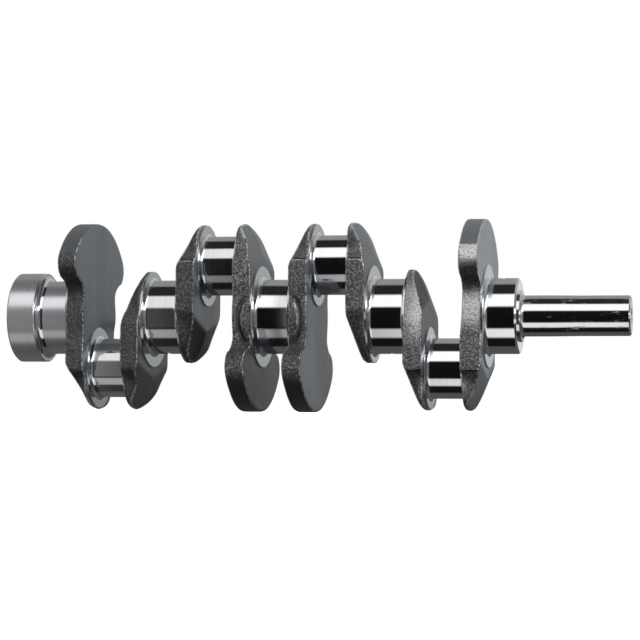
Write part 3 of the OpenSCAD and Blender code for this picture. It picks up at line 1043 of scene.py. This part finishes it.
# rear main journal, and the ground root between it and the flange
ROOT_R, ROOT_BLEND, ROOT_TOP_R, ROOT_BORE, ROOT_LEN = 29.4, 4.4, 34.2, 27.0, 5.0
x1, g = -FRONT_X - PAD, FLANGE_FRONT_X
o = lathe(
    "ground_root_5",
    [(g - JOURNAL_SINK, ROOT_BORE), (g - JOURNAL_SINK, ROOT_TOP_R), (g + 0.05, ROOT_TOP_R)]
    + fillet(g + 0.05 + ROOT_BLEND, ROOT_R + ROOT_BLEND, ROOT_BLEND, 180, 270, 14)
    + [(g + ROOT_LEN, ROOT_R), (g + ROOT_LEN, ROOT_BORE)],
    ground,
)
o = lathe(
    "ground_main_5",
    [(g + 4.6, 0.0), (g + 4.6, 29.5), (g + 5.1, MAIN_R)]
    + fillet(x1 - FILLET, MAIN_R + FILLET, FILLET, 270, 360)
    + [(x1 + JOURNAL_SINK, MAIN_R + FILLET), (x1 + JOURNAL_SINK, 0.0)],
    turned,
)
bore, mouths = oil_tools(4)
cut(o, [bore, mouths[0]])
round_normals(o, (MAIN_R,))
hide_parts("main_journal_5")

# flywheel flange with its pilot bore, bolt holes and dowel hole
def flange_hole(turn, profile):
    """A tool for a hole on the bolt circle, drawn from the flange's rear face inwards."""
    place = (
        Matrix.Rotation(turn, 4, "X")
        @ Matrix.Translation((FLANGE_REAR_X, 0, BOLT_CIRCLE_R))
        @ Matrix.Rotation(math.pi / 2, 4, "Y")
    )
    return cutter(profile, place, 40)


BOLT_HOLE = [(-1.0, 6.2), (0.0, 5.2), (0.8, 4.4), (20.0, 4.4), (22.0, 0.6)]
DOWEL_HOLE = [(-1.0, 5.3), (0.0, 4.5), (0.4, 4.02), (10.0, 4.02)]
a, b = FLANGE_REAR_X, FLANGE_FRONT_X
o = lathe(
    "turned_flange",
    [(a, PILOT_R), (a, FLANGE_R - 1.5), (a + 1.5, FLANGE_R), (b - 0.7, FLANGE_R),
     (b, FLANGE_R - 0.7), (b, 0.0), (a + PILOT_DEPTH, 0.0), (a + PILOT_DEPTH, PILOT_R)],
    turned,
)
tools = [flange_hole(k * math.pi / 3, BOLT_HOLE) for k in range(6)]
tools.append(flange_hole(-math.pi / 2, DOWEL_HOLE))
cut(o, tools)
round_normals(o, (FLANGE_R,))
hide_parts("rear_flange")

# nose with root collar, key slot and bolt hole
COLLAR_R, ROOT_FILLET, HOLE_R, HOLE_MOUTH_R = 20.5, 2.5, 5.1, 6.3
KEY_PLAY = 1.01
c, e = NOSE_X + 2.0, NOSE_X + SEAT_LEN
o = lathe(
    "polished_nose",
    [(NOSE_X - JOURNAL_SINK, 0.0), (NOSE_X - JOURNAL_SINK, COLLAR_R), (NOSE_X + 1.2, COLLAR_R),
     (c, COLLAR_R - 0.8)]
    + fillet(c + ROOT_FILLET, SEAT_R + ROOT_FILLET, ROOT_FILLET, 180, 270)
    + [(e - 12, SEAT_R), (e + 12, PULLEY_R), (TIP_X - 1.3, PULLEY_R), (TIP_X, PULLEY_R - 1.3),
       (TIP_X, HOLE_MOUTH_R), (TIP_X - 1.2, HOLE_R), (TIP_X - 32, HOLE_R), (TIP_X - 34, 0.0)],
    polished,
)
key = bpy.data.meshes.new_from_object(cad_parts["nose_key"])
centre = sum((v.co for v in key.vertices), Vector()) / len(key.vertices)
key.transform(
    Matrix.Translation(centre) @ Matrix.Scale(KEY_PLAY, 4) @ Matrix.Translation(-centre)
)
cut(o, [key])
round_normals(o, (SEAT_R, PULLEY_R))
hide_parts("nose")

# the key and the dowel: copies of the CAD shapes, welded and with broken edges
BROKEN_EDGE, WELD = 0.0003, 0.001 * MM
for name in ("nose_key", "flywheel_dowel"):
    me = bpy.data.meshes.new_from_object(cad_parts[name])
    bm = bmesh.new()
    bm.from_mesh(me)
    bmesh.ops.remove_doubles(bm, verts=bm.verts, dist=WELD)
    bm.to_mesh(me)
    bm.free()
    o = bpy.data.objects.new("hardened_" + name, me)
    bpy.context.scene.collection.objects.link(o)
    m = o.modifiers.new("edges", "BEVEL")
    m.width, m.segments = BROKEN_EDGE, 2
    m.limit_method, m.angle_limit = "ANGLE", math.radians(30)
    apply_modifiers(o)
    o.data.materials.clear()
    o.data.materials.append(hard)
    smooth(o, 40)
    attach(o, "root")
    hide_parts(name)

view = bpy.context.scene.view_settings
view.view_transform, view.look = "Standard", "None"
